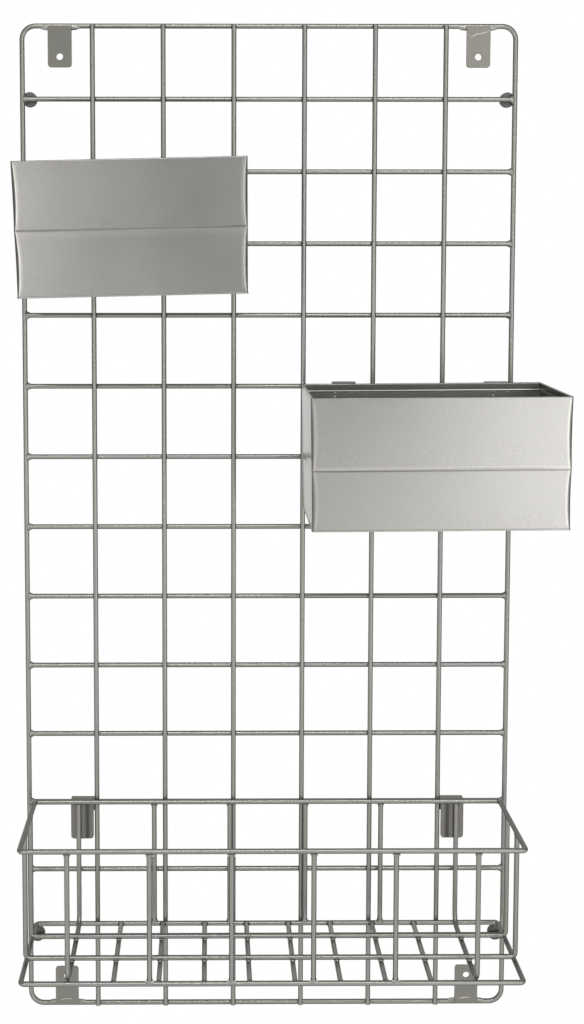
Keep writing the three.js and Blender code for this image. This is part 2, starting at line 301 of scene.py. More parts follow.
def make_camera():
    data = bpy.data.cameras.new("camera")
    data.sensor_width = SENSOR
    data.sensor_fit = "AUTO"
    data.lens = FOCAL_PIXELS / PICTURE[1] * SENSOR
    data.shift_x = (PICTURE[0] / 2 - PRINCIPAL_PIXEL[0]) / PICTURE[1]
    data.shift_y = (PRINCIPAL_PIXEL[1] - PICTURE[1] / 2) / PICTURE[1]
    camera = bpy.data.objects.new("camera", data)
    camera.location = CAMERA_PLACE
    camera.rotation_euler = (math.pi / 2 - CAMERA_PITCH, 0, CAMERA_YAW)
    bpy.context.scene.collection.objects.link(camera)
    bpy.context.scene.camera = camera


# Node helpers
def add_node(tree, kind, settings=None, **inputs):
    """Adds a node; settings are its own options, the rest are values or links for its input sockets."""
    made = tree.nodes.new(kind)
    for key, value in (settings or {}).items():
        setattr(made, key, value)
    for key, value in inputs.items():
        feed(tree, made.inputs[key.replace("_", " ")], value)
    return made


def feed(tree, socket, value):
    if isinstance(value, bpy.types.NodeSocket):
        tree.links.new(value, socket)
    else:
        socket.default_value = value


def math_node(tree, operation, first, second=0.0):
    made = tree.nodes.new("ShaderNodeMath")
    made.operation = operation
    feed(tree, made.inputs[0], first)
    feed(tree, made.inputs[1], second)
    return made.outputs[0]


def scaled(tree, vector, factor):
    made = add_node(tree, "ShaderNodeVectorMath", {"operation": "SCALE"}, Vector=vector, Scale=factor)
    return made.outputs["Vector"]


def combined(tree, x=0.0, y=0.0, z=0.0):
    return add_node(tree, "ShaderNodeCombineXYZ", X=x, Y=y, Z=z).outputs[0]


def new_group(name, kind, inputs, outputs):
    """A node group with its named sockets, and its input and output nodes."""
    tree = bpy.data.node_groups.new(name, kind)
    for label, socket_type, value in inputs:
        socket = tree.interface.new_socket(label, in_out="INPUT", socket_type=socket_type)
        if value is not None:
            socket.default_value = value
    for label, socket_type in outputs:
        tree.interface.new_socket(label, in_out="OUTPUT", socket_type=socket_type)
    return tree, tree.nodes.new("NodeGroupInput"), tree.nodes.new("NodeGroupOutput")


# Shared shader group: the cloudy tone, fine speckle and orange peel of satin metallic paint, and the
# painted light and shade of the `line` attribute
def paint_texture_group():
    tree, given, result = new_group(
        "paint_texture",
        "ShaderNodeTree",
        [
            ("Tone", "NodeSocketColor", (0.5, 0.5, 0.5, 1)),
            ("Line Gain", "NodeSocketFloat", 0.0),
            ("Shade", "NodeSocketFloat", 0.1),
            ("Cloud Scale", "NodeSocketFloat", 12.0),
            ("Speckle Scale", "NodeSocketFloat", 2600.0),
            ("Speckle", "NodeSocketFloat", 0.1),
            ("Peel Scale", "NodeSocketFloat", 700.0),
            ("Roughness", "NodeSocketFloat", 0.35),
            ("Roughness Spread", "NodeSocketFloat", 0.1),
        ],
        [("Color", "NodeSocketColor"), ("Roughness", "NodeSocketFloat"), ("Height", "NodeSocketFloat")],
    )
    place = add_node(tree, "ShaderNodeTexCoord").outputs["Object"]

    def noise(scale, detail):
        size = given.outputs[scale]
        made = add_node(tree, "ShaderNodeTexNoise", Vector=place, Scale=size, Detail=detail)
        return made.outputs["Fac"]

    def swing(pattern, amount):
        """A pattern from 0 to 1 as a swing of the named amount about 0."""
        centred = math_node(tree, "SUBTRACT", pattern, 0.5)
        return math_node(tree, "MULTIPLY", centred, given.outputs[amount])

    cloud = noise("Cloud Scale", 4.0)
    speckle = noise("Speckle Scale", 1.0)
    peel = noise("Peel Scale", 2.0)
    # Painted light and shade: the `line` attribute times its gain
    line = add_node(tree, "ShaderNodeAttribute", {"attribute_name": "line"}).outputs["Fac"]
    painted_light_part = math_node(tree, "MULTIPLY", line, given.outputs["Line Gain"])
    gain = math_node(tree, "ADD", swing(cloud, "Shade"), swing(speckle, "Speckle"))
    gain = math_node(tree, "ADD", gain, 1.0)
    gain = math_node(tree, "ADD", gain, painted_light_part)
    roughness = math_node(tree, "ADD", given.outputs["Roughness"], swing(cloud, "Roughness Spread"))
    height = math_node(tree, "ADD", peel, math_node(tree, "MULTIPLY", speckle, 0.3))
    feed(tree, result.inputs["Color"], scaled(tree, given.outputs["Tone"], gain))
    feed(tree, result.inputs["Roughness"], roughness)
    feed(tree, result.inputs["Height"], height)
    return tree


def paint_material(name, tone, edge, metallic=0.8, bump=0.18, turn=SOFT_TURN_SHADE, graze=0.6, **values):
    """`edge` is how much of the tone is left in the painted shade where the surface turns away from the
    camera, as `turn` says. `graze` tints what it reflects at a grazing angle. The other values go to the
    shared group."""
    material = bpy.data.materials.new(name)
    material.use_nodes = True
    tree = material.node_tree
    shader = tree.nodes["Principled BSDF"]
    shader.inputs["Metallic"].default_value = metallic
    shader.inputs["Specular Tint"].default_value = (graze, graze, graze, 1)
    group = {"node_tree": PAINT_TEXTURE}
    texture = add_node(tree, "ShaderNodeGroup", group, Tone=(*tone, 1), **values)
    height = texture.outputs["Height"]
    relief = add_node(tree, "ShaderNodeBump", Strength=bump, Distance=PEEL_DEPTH, Height=height)
    # Painted shade: darker base colour where the surface turns away from the camera
    facing = add_node(tree, "ShaderNodeLayerWeight", Blend=0.5).outputs["Facing"]
    turned = add_node(tree, "ShaderNodeValToRGB", Fac=facing)
    stops = turned.color_ramp.elements
    for k, (place, left) in enumerate(zip(turn, (1.0, edge, edge, 1.0))):
        stop = stops[k] if k < 2 else stops.new(place)
        stop.position = place
        stop.color = (left, left, left, 1)
    color = scaled(tree, texture.outputs["Color"], turned.outputs["Color"])
    feed(tree, shader.inputs["Base Color"], color)
    feed(tree, shader.inputs["Roughness"], texture.outputs["Roughness"])
    feed(tree, shader.inputs["Normal"], relief.outputs["Normal"])
    return material


# Geometry Nodes trees
def finish_tree(tree, given, result, geometry):
    real = add_node(tree, "GeometryNodeRealizeInstances", Geometry=geometry).outputs[0]
    material = given.outputs["Material"]
    painted = add_node(tree, "GeometryNodeSetMaterial", Geometry=real, Material=material)
    feed(tree, result.inputs["Geometry"], painted.outputs[0])


def named_vector(tree, name):
    made = add_node(tree, "GeometryNodeInputNamedAttribute", {"data_type": "FLOAT_VECTOR"}, Name=name)
    return made.outputs["Attribute"]


def circle(tree, sides, radius):
    made = add_node(tree, "GeometryNodeCurvePrimitiveCircle", Resolution=sides, Radius=radius)
    return made.outputs["Curve"]


def wire_tree():
    """Turns a mesh of edges into round wires."""
    tree, given, result = new_group(
        "bent_wire",
        "GeometryNodeTree",
        [
            ("Geometry", "NodeSocketGeometry", None),
            ("Diameter", "NodeSocketFloat", WIRE),
            ("Sides", "NodeSocketInt", WIRE_SIDES),
            ("Material", "NodeSocketMaterial", None),
        ],
        [("Geometry", "NodeSocketGeometry")],
    )
    radius = math_node(tree, "MULTIPLY", given.outputs["Diameter"], 0.5)
    path = add_node(tree, "GeometryNodeMeshToCurve", Mesh=given.outputs["Geometry"])
    tube = add_node(
        tree,
        "GeometryNodeCurveToMesh",
        Curve=path.outputs["Curve"],
        Profile_Curve=circle(tree, given.outputs["Sides"], radius),
        Fill_Caps=True,
    )
    finish_tree(tree, given, result, tube.outputs["Mesh"])
    return tree


def weld_flare_tree():
    """Puts a weld that flares onto the crossing rail at each point. The point's vector `direction` lies
    along the wire that ends there, and `rail` along the rail."""
    tree, given, result = new_group(
        "weld_flare",
        "GeometryNodeTree",
        [
            ("Geometry", "NodeSocketGeometry", None),
            ("Wire Radius", "NodeSocketFloat", WIRE / 2),
            ("Flare", "NodeSocketFloat", PANEL_FLARE[0]),
            ("Length", "NodeSocketFloat", PANEL_FLARE[1]),
            ("Sunk", "NodeSocketFloat", FLARE_SUNK),
            ("Flatness", "NodeSocketFloat", FLARE_FLATNESS),
            ("Material", "NodeSocketMaterial", None),
        ],
        [("Geometry", "NodeSocketGeometry")],
    )
    low = combined(tree, z=math_node(tree, "MULTIPLY", given.outputs["Sunk"], -1.0))
    high = combined(tree, z=given.outputs["Length"])
    line = add_node(tree, "GeometryNodeCurvePrimitiveLine", Start=low, End=high)
    steps = add_node(tree, "GeometryNodeResampleCurve", Curve=line.outputs[0], Count=FLARE_STEPS)
    along = add_node(tree, "GeometryNodeSplineParameter").outputs["Factor"]
    left_over = math_node(tree, "SUBTRACT", 1.0, along)
    squared = math_node(tree, "MULTIPLY", left_over, left_over)
    spread = math_node(tree, "MULTIPLY", squared, given.outputs["Flare"])
    bead = add_node(
        tree,
        "GeometryNodeCurveToMesh",
        Curve=steps.outputs[0],
        Profile_Curve=circle(tree, FLARE_SIDES, 1.0),
        Scale=math_node(tree, "ADD", spread, given.outputs["Wire Radius"]),
        Fill_Caps=True,
    )
    upright = add_node(
        tree,
        "FunctionNodeAlignRotationToVector",
        {"axis": "Z"},
        Vector=named_vector(tree, "direction"),
    )
    turned = add_node(
        tree,
        "FunctionNodeAlignRotationToVector",
        {"axis": "X", "pivot_axis": "Z"},
        Rotation=upright.outputs[0],
        Vector=named_vector(tree, "rail"),
    )
    placed = add_node(
        tree,
        "GeometryNodeInstanceOnPoints",
        Points=given.outputs["Geometry"],
        Instance=bead.outputs["Mesh"],
        Rotation=turned.outputs[0],
        Scale=combined(tree, 1.0, given.outputs["Flatness"], 1.0),
    )
    finish_tree(tree, given, result, placed.outputs[0])
    return tree


def weld_nugget_tree():
    """Puts a rounded nugget at each point, with the half sizes in its vector `size`."""
    tree, given, result = new_group(
        "weld_nugget",
        "GeometryNodeTree",
        [
            ("Geometry", "NodeSocketGeometry", None),
            ("Size Factor", "NodeSocketFloat", 1.0),
            ("Material", "NodeSocketMaterial", None),
        ],
        [("Geometry", "NodeSocketGeometry")],
    )
    factor = given.outputs["Size Factor"]
    nugget = add_node(tree, "GeometryNodeMeshIcoSphere", Radius=factor, Subdivisions=NUGGET_SUBDIVISIONS)
    placed = add_node(
        tree,
        "GeometryNodeInstanceOnPoints",
        Points=given.outputs["Geometry"],
        Instance=nugget.outputs["Mesh"],
        Scale=named_vector(tree, "size"),
    )
    finish_tree(tree, given, result, placed.outputs[0])
    return tree


# Mesh helpers
def link(name, mesh):
    made = bpy.data.objects.new(name, mesh)
    bpy.context.scene.collection.objects.link(made)
    return made


def smooth(mesh, sharp_angle=SHARP_ANGLE):
    mesh.shade_smooth()
    mesh.set_sharp_from_angle(angle=math.radians(sharp_angle))


def merge_and_face_out(mesh, distance):
    """Merges points that are no further apart than the distance, and turns all faces outwards."""
    work = bmesh.new()
    work.from_mesh(mesh)
    bmesh.ops.remove_doubles(work, verts=work.verts, dist=distance)
    bmesh.ops.recalc_face_normals(work, faces=work.faces)
    work.to_mesh(mesh)
    work.free()


def evaluated_mesh(source):
    """The mesh of an object with its modifiers, which are then taken off it."""
    evaluated = source.evaluated_get(bpy.context.evaluated_depsgraph_get())
    mesh = bpy.data.meshes.new_from_object(evaluated)
    source.modifiers.clear()
    return mesh


def grow(name, base, tree, values):
    """Runs a Geometry Nodes tree on a base mesh and keeps the result as a plain piece."""
    source = link(name + "_base", base)
    modifier = source.modifiers.new("grow", "NODES")
    modifier.node_group = tree
    for item in tree.interface.items_tree:
        if item.item_type == "SOCKET" and item.in_out == "INPUT" and item.name in values:
            modifier[item.identifier] = values[item.name]
    mesh = evaluated_mesh(source)
    bpy.data.objects.remove(source)
    merge_and_face_out(mesh, GROWN_MERGE)
    smooth(mesh)
    mesh.name = name
    return link(name, mesh)


def edge_mesh(name, paths):
    """A mesh of edges from (points, closed) paths."""
    points = []
    edges = []
    for path, closed in paths:
        first = len(points)
        points.extend(path)
        edges.extend((first + i, first + i + 1) for i in range(len(path) - 1))
        if closed:
            edges.append((first + len(path) - 1, first))
    mesh = bpy.data.meshes.new(name)
    mesh.from_pydata(points, edges, [])
    return mesh


def point_mesh(name, points, **vectors):
    mesh = bpy.data.meshes.new(name)
    mesh.from_pydata(points, [], [])
    for key, values in vectors.items():
        layer = mesh.attributes.new(key, "FLOAT_VECTOR", "POINT")
        for i, value in enumerate(values):
            layer.data[i].vector = value
    return mesh


def bent_path(corners, radius, closed=False):
    """The path through the corners with each corner bent to the radius."""
    count = len(corners)
    path = []
    for i, corner in enumerate(corners):
        if not closed and i in (0, count - 1):
            path.append(corner)
            continue
        back = (corners[i - 1] - corner).normalized()
        ahead = (corners[(i + 1) % count] - corner).normalized()
        half = back.angle(ahead) / 2
        centre = corner + (back + ahead).normalized() * (radius / math.sin(half))
        arm = corner + back * (radius / math.tan(half)) - centre
        axis = ahead.cross(back)
        turn = math.pi - 2 * half
        for k in range(BEND_STEPS + 1):
            path.append(centre + Matrix.Rotation(turn * k / BEND_STEPS, 3, axis) @ arm)
    return path


def centre_of(node):
    low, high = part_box(node)
    return (Vector(low) + Vector(high)) / 2


def straight_path(node, axis):
    """The centre line of a straight wire."""
    low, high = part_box(node)
    middle = centre_of(node)
    start = middle.copy()
    end = middle.copy()
    start[axis] = low[axis]
    end[axis] = high[axis]
    return [start, end]


def loop_path(node, flat_axis, radius):
    """The centre line of a wire loop that lies flat across an axis."""
    low, high = (Vector(corner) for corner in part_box(node))
    low += Vector((WIRE / 2,) * 3)
    high -= Vector((WIRE / 2,) * 3)
    a, b = (k for k in range(3) if k != flat_axis)
    corners = []
    for pick_a, pick_b in ((low, low), (high, low), (high, high), (low, high)):
        corner = centre_of(node)
        corner[a] = pick_a[a]
        corner[b] = pick_b[b]
        corners.append(corner)
    return bent_path(corners, radius, closed=True)


def hoop_path(node, run_axis, radius):
    """The centre line of a wire that comes down, runs along an axis and goes up again."""
    low, high = (Vector(corner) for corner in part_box(node))
    middle = centre_of(node)
    corners = []
    for end, z in ((low, high.z), (low, low.z + WIRE / 2), (high, low.z + WIRE / 2), (high, high.z)):
        corner = middle.copy()
        inward = WIRE / 2 if end is low else -WIRE / 2
        corner[run_axis] = end[run_axis] + inward
        corner.z = z
        corners.append(corner)
    return bent_path(corners, radius)


# Making pieces
def hand_over(piece, body, nodes=()):
    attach(piece, body)
    if nodes:
        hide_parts(*nodes)


def wires(name, body, nodes, paths, paint, closed=False):
    """One piece of the wires that follow the paths and stand for the nodes."""
    base = edge_mesh(name, [(path, closed) for path in paths])
    hand_over(grow(name, base, WIRE_TREE, {"Material": paint}), body, nodes)


def straight_wires(name, body, nodes, axis, paint):
    wires(name, body, nodes, [straight_path(node, axis) for node in nodes], paint)


def weld_flares(name, body, joints, sizes):
    """joints are (place, direction, rail) for each wire that ends on a rail."""
    places, directions, rails = zip(*joints)
    points = point_mesh(name, places, direction=directions, rail=rails)
    flare, length = sizes
    values = {"Flare": flare, "Length": length, "Material": WIRE_PAINT}
    hand_over(grow(name, points, FLARE_TREE, values), body)


def weld_nuggets(name, body, nuggets, paint):
    """nuggets are (place, half sizes)."""
    places, sizes = zip(*nuggets)
    points = point_mesh(name, places, size=sizes)
    hand_over(grow(name, points, NUGGET_TREE, {"Material": paint}), body)


def finished_copy(name, body, nodes, edge, material, shapers=()):
    """A piece of merged copies of solids, which the shapers work on, with edges softened by `edge`."""
    work = bmesh.new()
    for node in nodes:
        work.from_mesh(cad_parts[node].data)
    bmesh.ops.remove_doubles(work, verts=work.verts, dist=SOLID_MERGE)
    flat = math.radians(FLAT_ANGLE)
    bmesh.ops.dissolve_limit(work, angle_limit=flat, verts=work.verts, edges=work.edges)
    for shape in shapers:
        for node in nodes:
            shape(work, node)
    bmesh.ops.recalc_face_normals(work, faces=work.faces)
    mesh = bpy.data.meshes.new(name)
    work.to_mesh(mesh)
    work.free()
    mesh.materials.clear()
    mesh.materials.append(material)
    mesh.shade_smooth()
    piece = link(name, mesh)
    bevel = piece.modifiers.new("edges", "BEVEL")
    bevel.width = edge
    bevel.segments = EDGE_STEPS
    bevel.limit_method = "ANGLE"
    bevel.angle_limit = math.radians(EDGE_ANGLE)
    shading = piece.modifiers.new("shading", "WEIGHTED_NORMAL")
    shading.weight = 100
    piece.data = evaluated_mesh(piece)
    hand_over(piece, body, nodes)
    return piece


# Grid panel
def outer_edge(node):
    """The height of a tab's outer edge, and the way in from there: -1 down or 1 up."""
    low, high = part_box(node)
    return (high[Z], -1) if high[Z] > 0 else (low[Z], 1)


def grid_panel():
    loop = loop_path("frame_loop", Y, FRAME_CORNER)
    wires("panel_frame_wire", "panel", ["frame_loop"], [loop], WIRE_PAINT, closed=True)
    straight_wires("panel_uprights", "panel", UPRIGHTS, Z, WIRE_PAINT)
    straight_wires("panel_cross_wires", "panel", CROSS_WIRES, X, WIRE_PAINT)
    flares = []
    for node in CROSS_WIRES:
        start, end = straight_path(node, X)
        flares.append((start, X_AXIS, Z_AXIS))
        flares.append((end, -X_AXIS, Z_AXIS))
    weld_flares("panel_frame_welds", "panel", flares, PANEL_FLARE)
    weld_nuggets("panel_crossing_welds", "panel", crossing_welds(), WELD_HIGHLIGHT_PAINT)
    weld_nuggets("panel_tab_fillets", "panel", tab_fillets(), WIRE_PAINT)
    weld_nuggets("panel_tab_beads", "panel", tab_beads(), BEAD_HIGHLIGHT_PAINT)


def crossing_welds():
    """Where the uprights cross the cross wires and the frame wire."""
    low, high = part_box("frame_loop")
    heights = [centre_of(node).z for node in CROSS_WIRES]
    heights += [low[Z] + WIRE / 2 + END_WELD_IN, high[Z] - WIRE / 2 - END_WELD_IN]
    nuggets = []
    for node in UPRIGHTS:
        middle = centre_of(node)
        for z in heights:
            nuggets.append((Vector((middle.x, middle.y + WIRE / 2, z)), CROSSING_NUGGET))
    return nuggets


def tab_fillets():
    """On both sides of each tab, where it meets the frame wire."""
    fillets = []
    for node in TABS:
        low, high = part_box(node)
        outer, inward = outer_edge(node)
        for x in (low[X], high[X]):
            place = Vector((x, centre_of("frame_loop").y - FILLET_OUT, outer + inward * FILLET_IN))
            fillets.append((place, TAB_FILLET))
    return fillets


def tab_beads():
    """Thin raised welds on the tabs' fronts, painted light as a painted highlight."""
    beads = []
    for node, welds in TAB_BEADS.items():
        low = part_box(node)[0]
        outer, inward = outer_edge(node)
        for across, along, half_length in welds:
            place = Vector((low[X] + across * MM, low[Y], outer + inward * along * MM))
            beads.append((place, Vector((half_length * MM, BEAD_HALF_DEPTH, BEAD_HALF_HEIGHT))))
    return beads


# Basket
def basket():
    rims = [loop_path(node, Z, RIM_CORNER) for node in RIMS]
    end_hoops = [hoop_path(node, Y, END_HOOP_BEND) for node in END_HOOPS]
    long_hoops = [hoop_path(node, X, LONG_HOOP_CORNER) for node in LONG_HOOPS]
    uprights = REAR_UPRIGHTS + FRONT_UPRIGHTS
    wires("basket_rims", "basket", RIMS, rims, RIM_PAINT, closed=True)
    wires("basket_end_hoops", "basket", END_HOOPS, end_hoops, RIM_PAINT)
    straight_wires("basket_floor_wires", "basket", FLOOR_WIRES, Y, FLOOR_WIRE_PAINT)
    straight_wires("basket_uprights", "basket", uprights, Z, WIRE_PAINT)
    wires("basket_long_hoops", "basket", LONG_HOOPS, long_hoops, WIRE_PAINT)

    flares = []
    for node in uprights:
        bottom, top = straight_path(node, Z)
        flares.append((bottom, Z_AXIS, X_AXIS))
        flares.append((top, -Z_AXIS, X_AXIS))
    for node in FLOOR_WIRES:
        front, rear = straight_path(node, Y)
        flares.append((front, Y_AXIS, X_AXIS))
        flares.append((rear, -Y_AXIS, X_AXIS))
    for path in end_hoops:
        flares.extend((end, -Z_AXIS, X_AXIS) for end in (path[0], path[-1]))
    for path in long_hoops:
        flares.extend((end, -Z_AXIS, Y_AXIS) for end in (path[0], path[-1]))
    weld_flares("basket_end_welds", "basket", flares, BASKET_FLARE)
    weld_nuggets("basket_floor_welds", "basket", floor_welds(), WELD_HIGHLIGHT_PAINT)
    weld_nuggets("basket_front_weld_spots", "basket", front_weld_spots(), BEAD_HIGHLIGHT_PAINT)


def floor_welds():
    """Where the floor wires and the end hoops lie on the long hoops."""
    floor_top = centre_of(FLOOR_WIRES[0]).z + WIRE / 2
    nuggets = []
    for hoop in LONG_HOOPS:
        for node in FLOOR_WIRES + END_HOOPS:
            nuggets.append((Vector((centre_of(node).x, centre_of(hoop).y, floor_top)), FLOOR_NUGGET))
    return nuggets


def front_weld_spots():
    """Weld spots painted bright as a painted highlight on both sides of each front upright's ends."""
    across, out, along = FRONT_WELD_SPOT_OFFSET
    spots = []
    for node in FRONT_UPRIGHTS:
        bottom, top = straight_path(node, Z)
        for end, inward in ((bottom, 1), (top, -1)):
            for side in (-1, 1):
                offset = Vector((side * across, out, inward * along)) * MM
                spots.append((end + offset, FRONT_WELD_SPOT))
    return spots


def basket_hook_plates():
    plates = finished_copy(
        "basket_hook_plates",
        "basket",
        BASKET_HOOKS,
        BASKET_HOOK_EDGE,
        HOOK_SHADE_PAINT,
        [round_bends, press_groove],
    )
    grooves = [groove_place(node) for node in BASKET_HOOKS]
    # Painted shade down the middle of each hook's groove, in the `line` attribute
    layer = plates.data.attributes.new("line", "FLOAT", "POINT")
    for i, vert in enumerate(plates.data.vertices):
        layer.data[i].value = -max(groove_share(place, vert.co) for place in grooves)


# Shapers of the hooks
def round_bends(work, node):
    """Rounds the outer bends along the top of a hook."""
    low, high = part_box(node)

    def on_top(vert):
        inside = low[X] - HOOK_SLACK < vert.co.x < high[X] + HOOK_SLACK
        return inside and vert.co.z > high[Z] - HOOK_TOP_DEPTH

    def is_bend(edge):
        first, second = edge.verts
        return on_top(first) and on_top(second) and abs(first.co.x - second.co.x) > LEAST_BEND_LENGTH

    bends = [edge for edge in work.edges if is_bend(edge)]
    bmesh.ops.bevel(
        work,
        geom=bends,
        offset=HOOK_BEND,
        segments=HOOK_BEND_STEPS,
        profile=0.5,
        affect="EDGES",
        clamp_overlap=True,
    )


def groove_place(node):
    """The x of the middle of a basket hook's groove, and the y of the hook's front."""
    middle = centre_of(node).x
    return middle - math.copysign(GROOVE_IN, middle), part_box(node)[0][Y]


def groove_share(place, point):
    """1 in the middle of the upright groove in a basket hook's front, 0 beside it."""
    middle, front = place
    off = (point.x - middle) / GROOVE_HALF_WIDTH
    in_groove = abs(off) < 1 and point.y < front + SHADED_DEPTH
    return math.cos(off * math.pi / 2) ** 2 if in_groove else 0.0


def press_groove(work, node):
    """Presses a shallow upright groove into a basket hook's front, beside the wire it is welded to."""
    place = groove_place(node)
    middle, front = place
    for k in range(-GROOVE_CUTS, GROOVE_CUTS + 1):
        cut = (middle + GROOVE_HALF_WIDTH * k / GROOVE_CUTS, 0, 0)
        everything = work.verts[:] + work.edges[:] + work.faces[:]
        bmesh.ops.bisect_plane(work, geom=everything, dist=ON_CUT, plane_co=cut, plane_no=X_AXIS)
    for vert in work.verts:
        if vert.co.y < front + PRESSED_DEPTH:
            vert.co.y += GROOVE_DEPTH * groove_share(place, vert.co)


# Bins
def swell(share, power=0.7):
    """Rises from 0 to 1 and falls back to 0 over a panel; a low power makes it broad in the middle."""
    return math.sin(math.pi * min(max(share, 0.0), 1.0)) ** power


def bin_levels(crease_down):
    """Distances below the rim at which the walls get a row of points."""
    near_top = crease_down - CREASE_REACH
    near_bottom = crease_down + CREASE_REACH
    above = [near_top * k / ROWS_ABOVE for k in range(1, ROWS_ABOVE)]
    near = [crease_down + CREASE_REACH * k / ROWS_NEAR for k in range(-ROWS_NEAR, ROWS_NEAR + 1)]
    below = [near_bottom + (WALL_BOTTOM - near_bottom) * k / ROWS_BELOW for k in range(1, ROWS_BELOW)]
    return RIM_ROWS + above + near + below + SEAM_ROWS


def wall_shape(down, crease_down):
    """(panel swell, crease depth, corner radius) at a distance below the rim."""
    if down < crease_down:
        rise = swell(down / crease_down)
    else:
        rise = swell((down - crease_down) / (WALL_BOTTOM - crease_down))
    crease = CREASE_DEPTH * max(0.0, 1 - abs(down - crease_down) / CREASE_HALF_WIDTH)
    return rise, crease, FRONT_CORNER + FRONT_CORNER_SWELL * rise


def bin_ring(size, down, inset, flush):
    """The plan of a bin's walls at one height, as points that run round from the rear left. `inset` is
    how far inside the outer face it lies, and `flush` scales the swell of the panels."""
    rise, crease, corner = wall_shape(down, size["crease_down"])
    half = size["width"] / 2 - size["taper"] * down / BIN_HEIGHT - inset
    back = -inset
    front = inset - BIN_DEPTH
    front_radius = max(corner - inset, LEAST_CORNER)
    back_radius = max(BACK_CORNER - inset, LEAST_CORNER)
    # Each corner's place, the way in from it, its radius, and the angle at which its arc starts
    corners = [
        (Vector((-half, back, 0)), Vector((1, -1, 0)), back_radius, 90),
        (Vector((-half, front, 0)), Vector((1, 1, 0)), front_radius, 180),
        (Vector((half, front, 0)), Vector((-1, 1, 0)), front_radius, 270),
        (Vector((half, back, 0)), Vector((-1, -1, 0)), back_radius, 0),
    ]

    def arc_point(i, turned):
        place, inward, radius, start = corners[i % 4]
        angle = math.radians(start + turned)
        return place + inward * radius + Vector((math.cos(angle), math.sin(angle), 0)) * radius

    ring = []
    for i in range(4):
        ring += [arc_point(i, 90 * k / CORNER_STEPS) for k in range(CORNER_STEPS + 1)]
        begin = ring[-1]
        finish = arc_point(i + 1, 0)
        for share in WALL_SHARES[i]:
            out = WALL_SWELL[i] * rise * swell(share, 1) * flush
            dip = crease * min(1.0, min(share, 1 - share) / CREASE_FADE) if i < 3 else 0.0
            ring.append(begin.lerp(finish, share) + WALL_NORMALS[i] * (out - dip))
    for point in ring:
        point.z = -down
    return ring


def bin_matrix(size):
    """The place of a bin, which leans out from its bottom edge by the thickness of its hooks."""
    lean = math.asin(STRIP / (BIN_HEIGHT - size["rim_up"]))
    wire = centre_of(size["wire"])
    hung_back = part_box("basket_top_rim")[1][Y]
    out = (wire.y - hung_back + STRIP) / math.cos(lean)
    hung = Matrix.Translation((size["x"], wire.y, wire.z)) @ Matrix.Rotation(lean, 4, "X")
    rolled = Matrix.Rotation(math.radians(-size["roll"]), 4, "Y")
    return hung @ Matrix.Translation((0, -out, size["rim_up"])) @ rolled


def bin_shell(size):
    """Rings of points down the outside and up the inside, joined into one sheet with a rolled rim."""
    levels = bin_levels(size["crease_down"])
    rings = [bin_ring(size, down, 0, 1) for down in levels]
    rings += [bin_ring(size, down, SHEET, 1) for down in reversed(levels) if down > HEM_CLEAR]
    rings += [bin_ring(size, down, inset, flush) for down, inset, flush in HEM_RINGS]
    for k in range(1, ROLL_STEPS):
        angle = math.pi * k / ROLL_STEPS
        ring = bin_ring(size, RIM_ROLL, SHEET + SHEET * math.cos(angle), 0)
        for point in ring:
            point.z += RIM_ROLL * math.sin(angle)
        rings.append(ring)
    around = len(rings[0])
    points = [point for ring in rings for point in ring]
    faces = []
    for i in range(len(rings)):
        here = i * around
        below = (i + 1) % len(rings) * around
        for k in range(around):
            m = (k + 1) % around
            faces.append((here + k, here + m, below + m, below + k))
    mesh = bpy.data.meshes.new(size["name"] + "_sheet")
    mesh.from_pydata(points, [], faces)
    # Painted shade and painted highlight from the table of painted tones, kept in the `line` attribute
    layer = mesh.attributes.new("line", "FLOAT", "POINT")
    for i, point in enumerate(points):
        outside = i // around < len(levels)
        layer.data[i].value = PAINTED_LIGHT_TONES[painted_light_at(size, point, outside)]
    merge_and_face_out(mesh, SHEET_MERGE)
    smooth(mesh, SHEET_SHARP_ANGLE)
    mesh.transform(bin_matrix(size))
    return mesh


def painted_light_at(size, point, outside):
    """The name, in the table of painted tones, of the painted shade or painted highlight that a point of
    a bin's sheet lies in.
    """
    down = -point.z
    if down < RIM_LINE:
        return "rim"
    if not outside:
        if down < HEM_HEIGHT + HEM_LINE[0]:
            return "hem"
        return "hem line" if down < HEM_HEIGHT + HEM_LINE[1] else "inside"
    radius = wall_shape(down, size["crease_down"])[2]
    corner = CORNER_LINE * radius
    half = size["width"] / 2 - size["taper"] * down / BIN_HEIGHT
    if point.y < corner - BIN_DEPTH and abs(point.x) > half - corner:
        return "corner"
    if down > WALL_BOTTOM - SEAM_LINE:
        return "bottom seam"
    beside = (down - size["crease_down"]) * size["band_side"] / MM
    if CREASE_LINE[0] < beside < CREASE_LINE[1]:
        return "crease"
    on_front = point.y < FRONT_FACE - BIN_DEPTH
    between_ends = min(down, WALL_BOTTOM - down) > BESIDE_CORNER_ENDS
    if on_front and between_ends and abs(point.x) > half - radius - BESIDE_CORNER:
        return "beside corner"
    return "band" if CREASE_LINE[1] < beside < BAND_END else "plain"


def make_bin(name):
    size = {"name": name, **BINS[name]}
    hooks = [f"{name}_hook_{side}" for side in SIDES]
    shell = link(f"{name}_folded_sheet", bin_shell(size))
    shell.data.materials.append(SHEET_PAINT)
    hand_over(shell, name, [f"{name}_shell"])
    finished_copy(f"{name}_bottom", name, [f"{name}_pan"], PAN_EDGE, SHEET_PAINT)
    finished_copy(f"{name}_hook_strips", name, hooks, BIN_HOOK_EDGE, TAB_PAINT, [round_bends])
    spots = []
    for node, places in zip(hooks, SPOT_WELD_PLACES):
        for across, down in places:
            local = Vector((centre_of(node).x - size["x"] + across * MM, -SHEET, -down * MM))
            spots.append((bin_matrix(size) @ local, SPOT_WELD))
    # The spot welds carry a painted highlight
    weld_nuggets(f"{name}_spot_welds", name, spots, BEAD_HIGHLIGHT_PAINT)


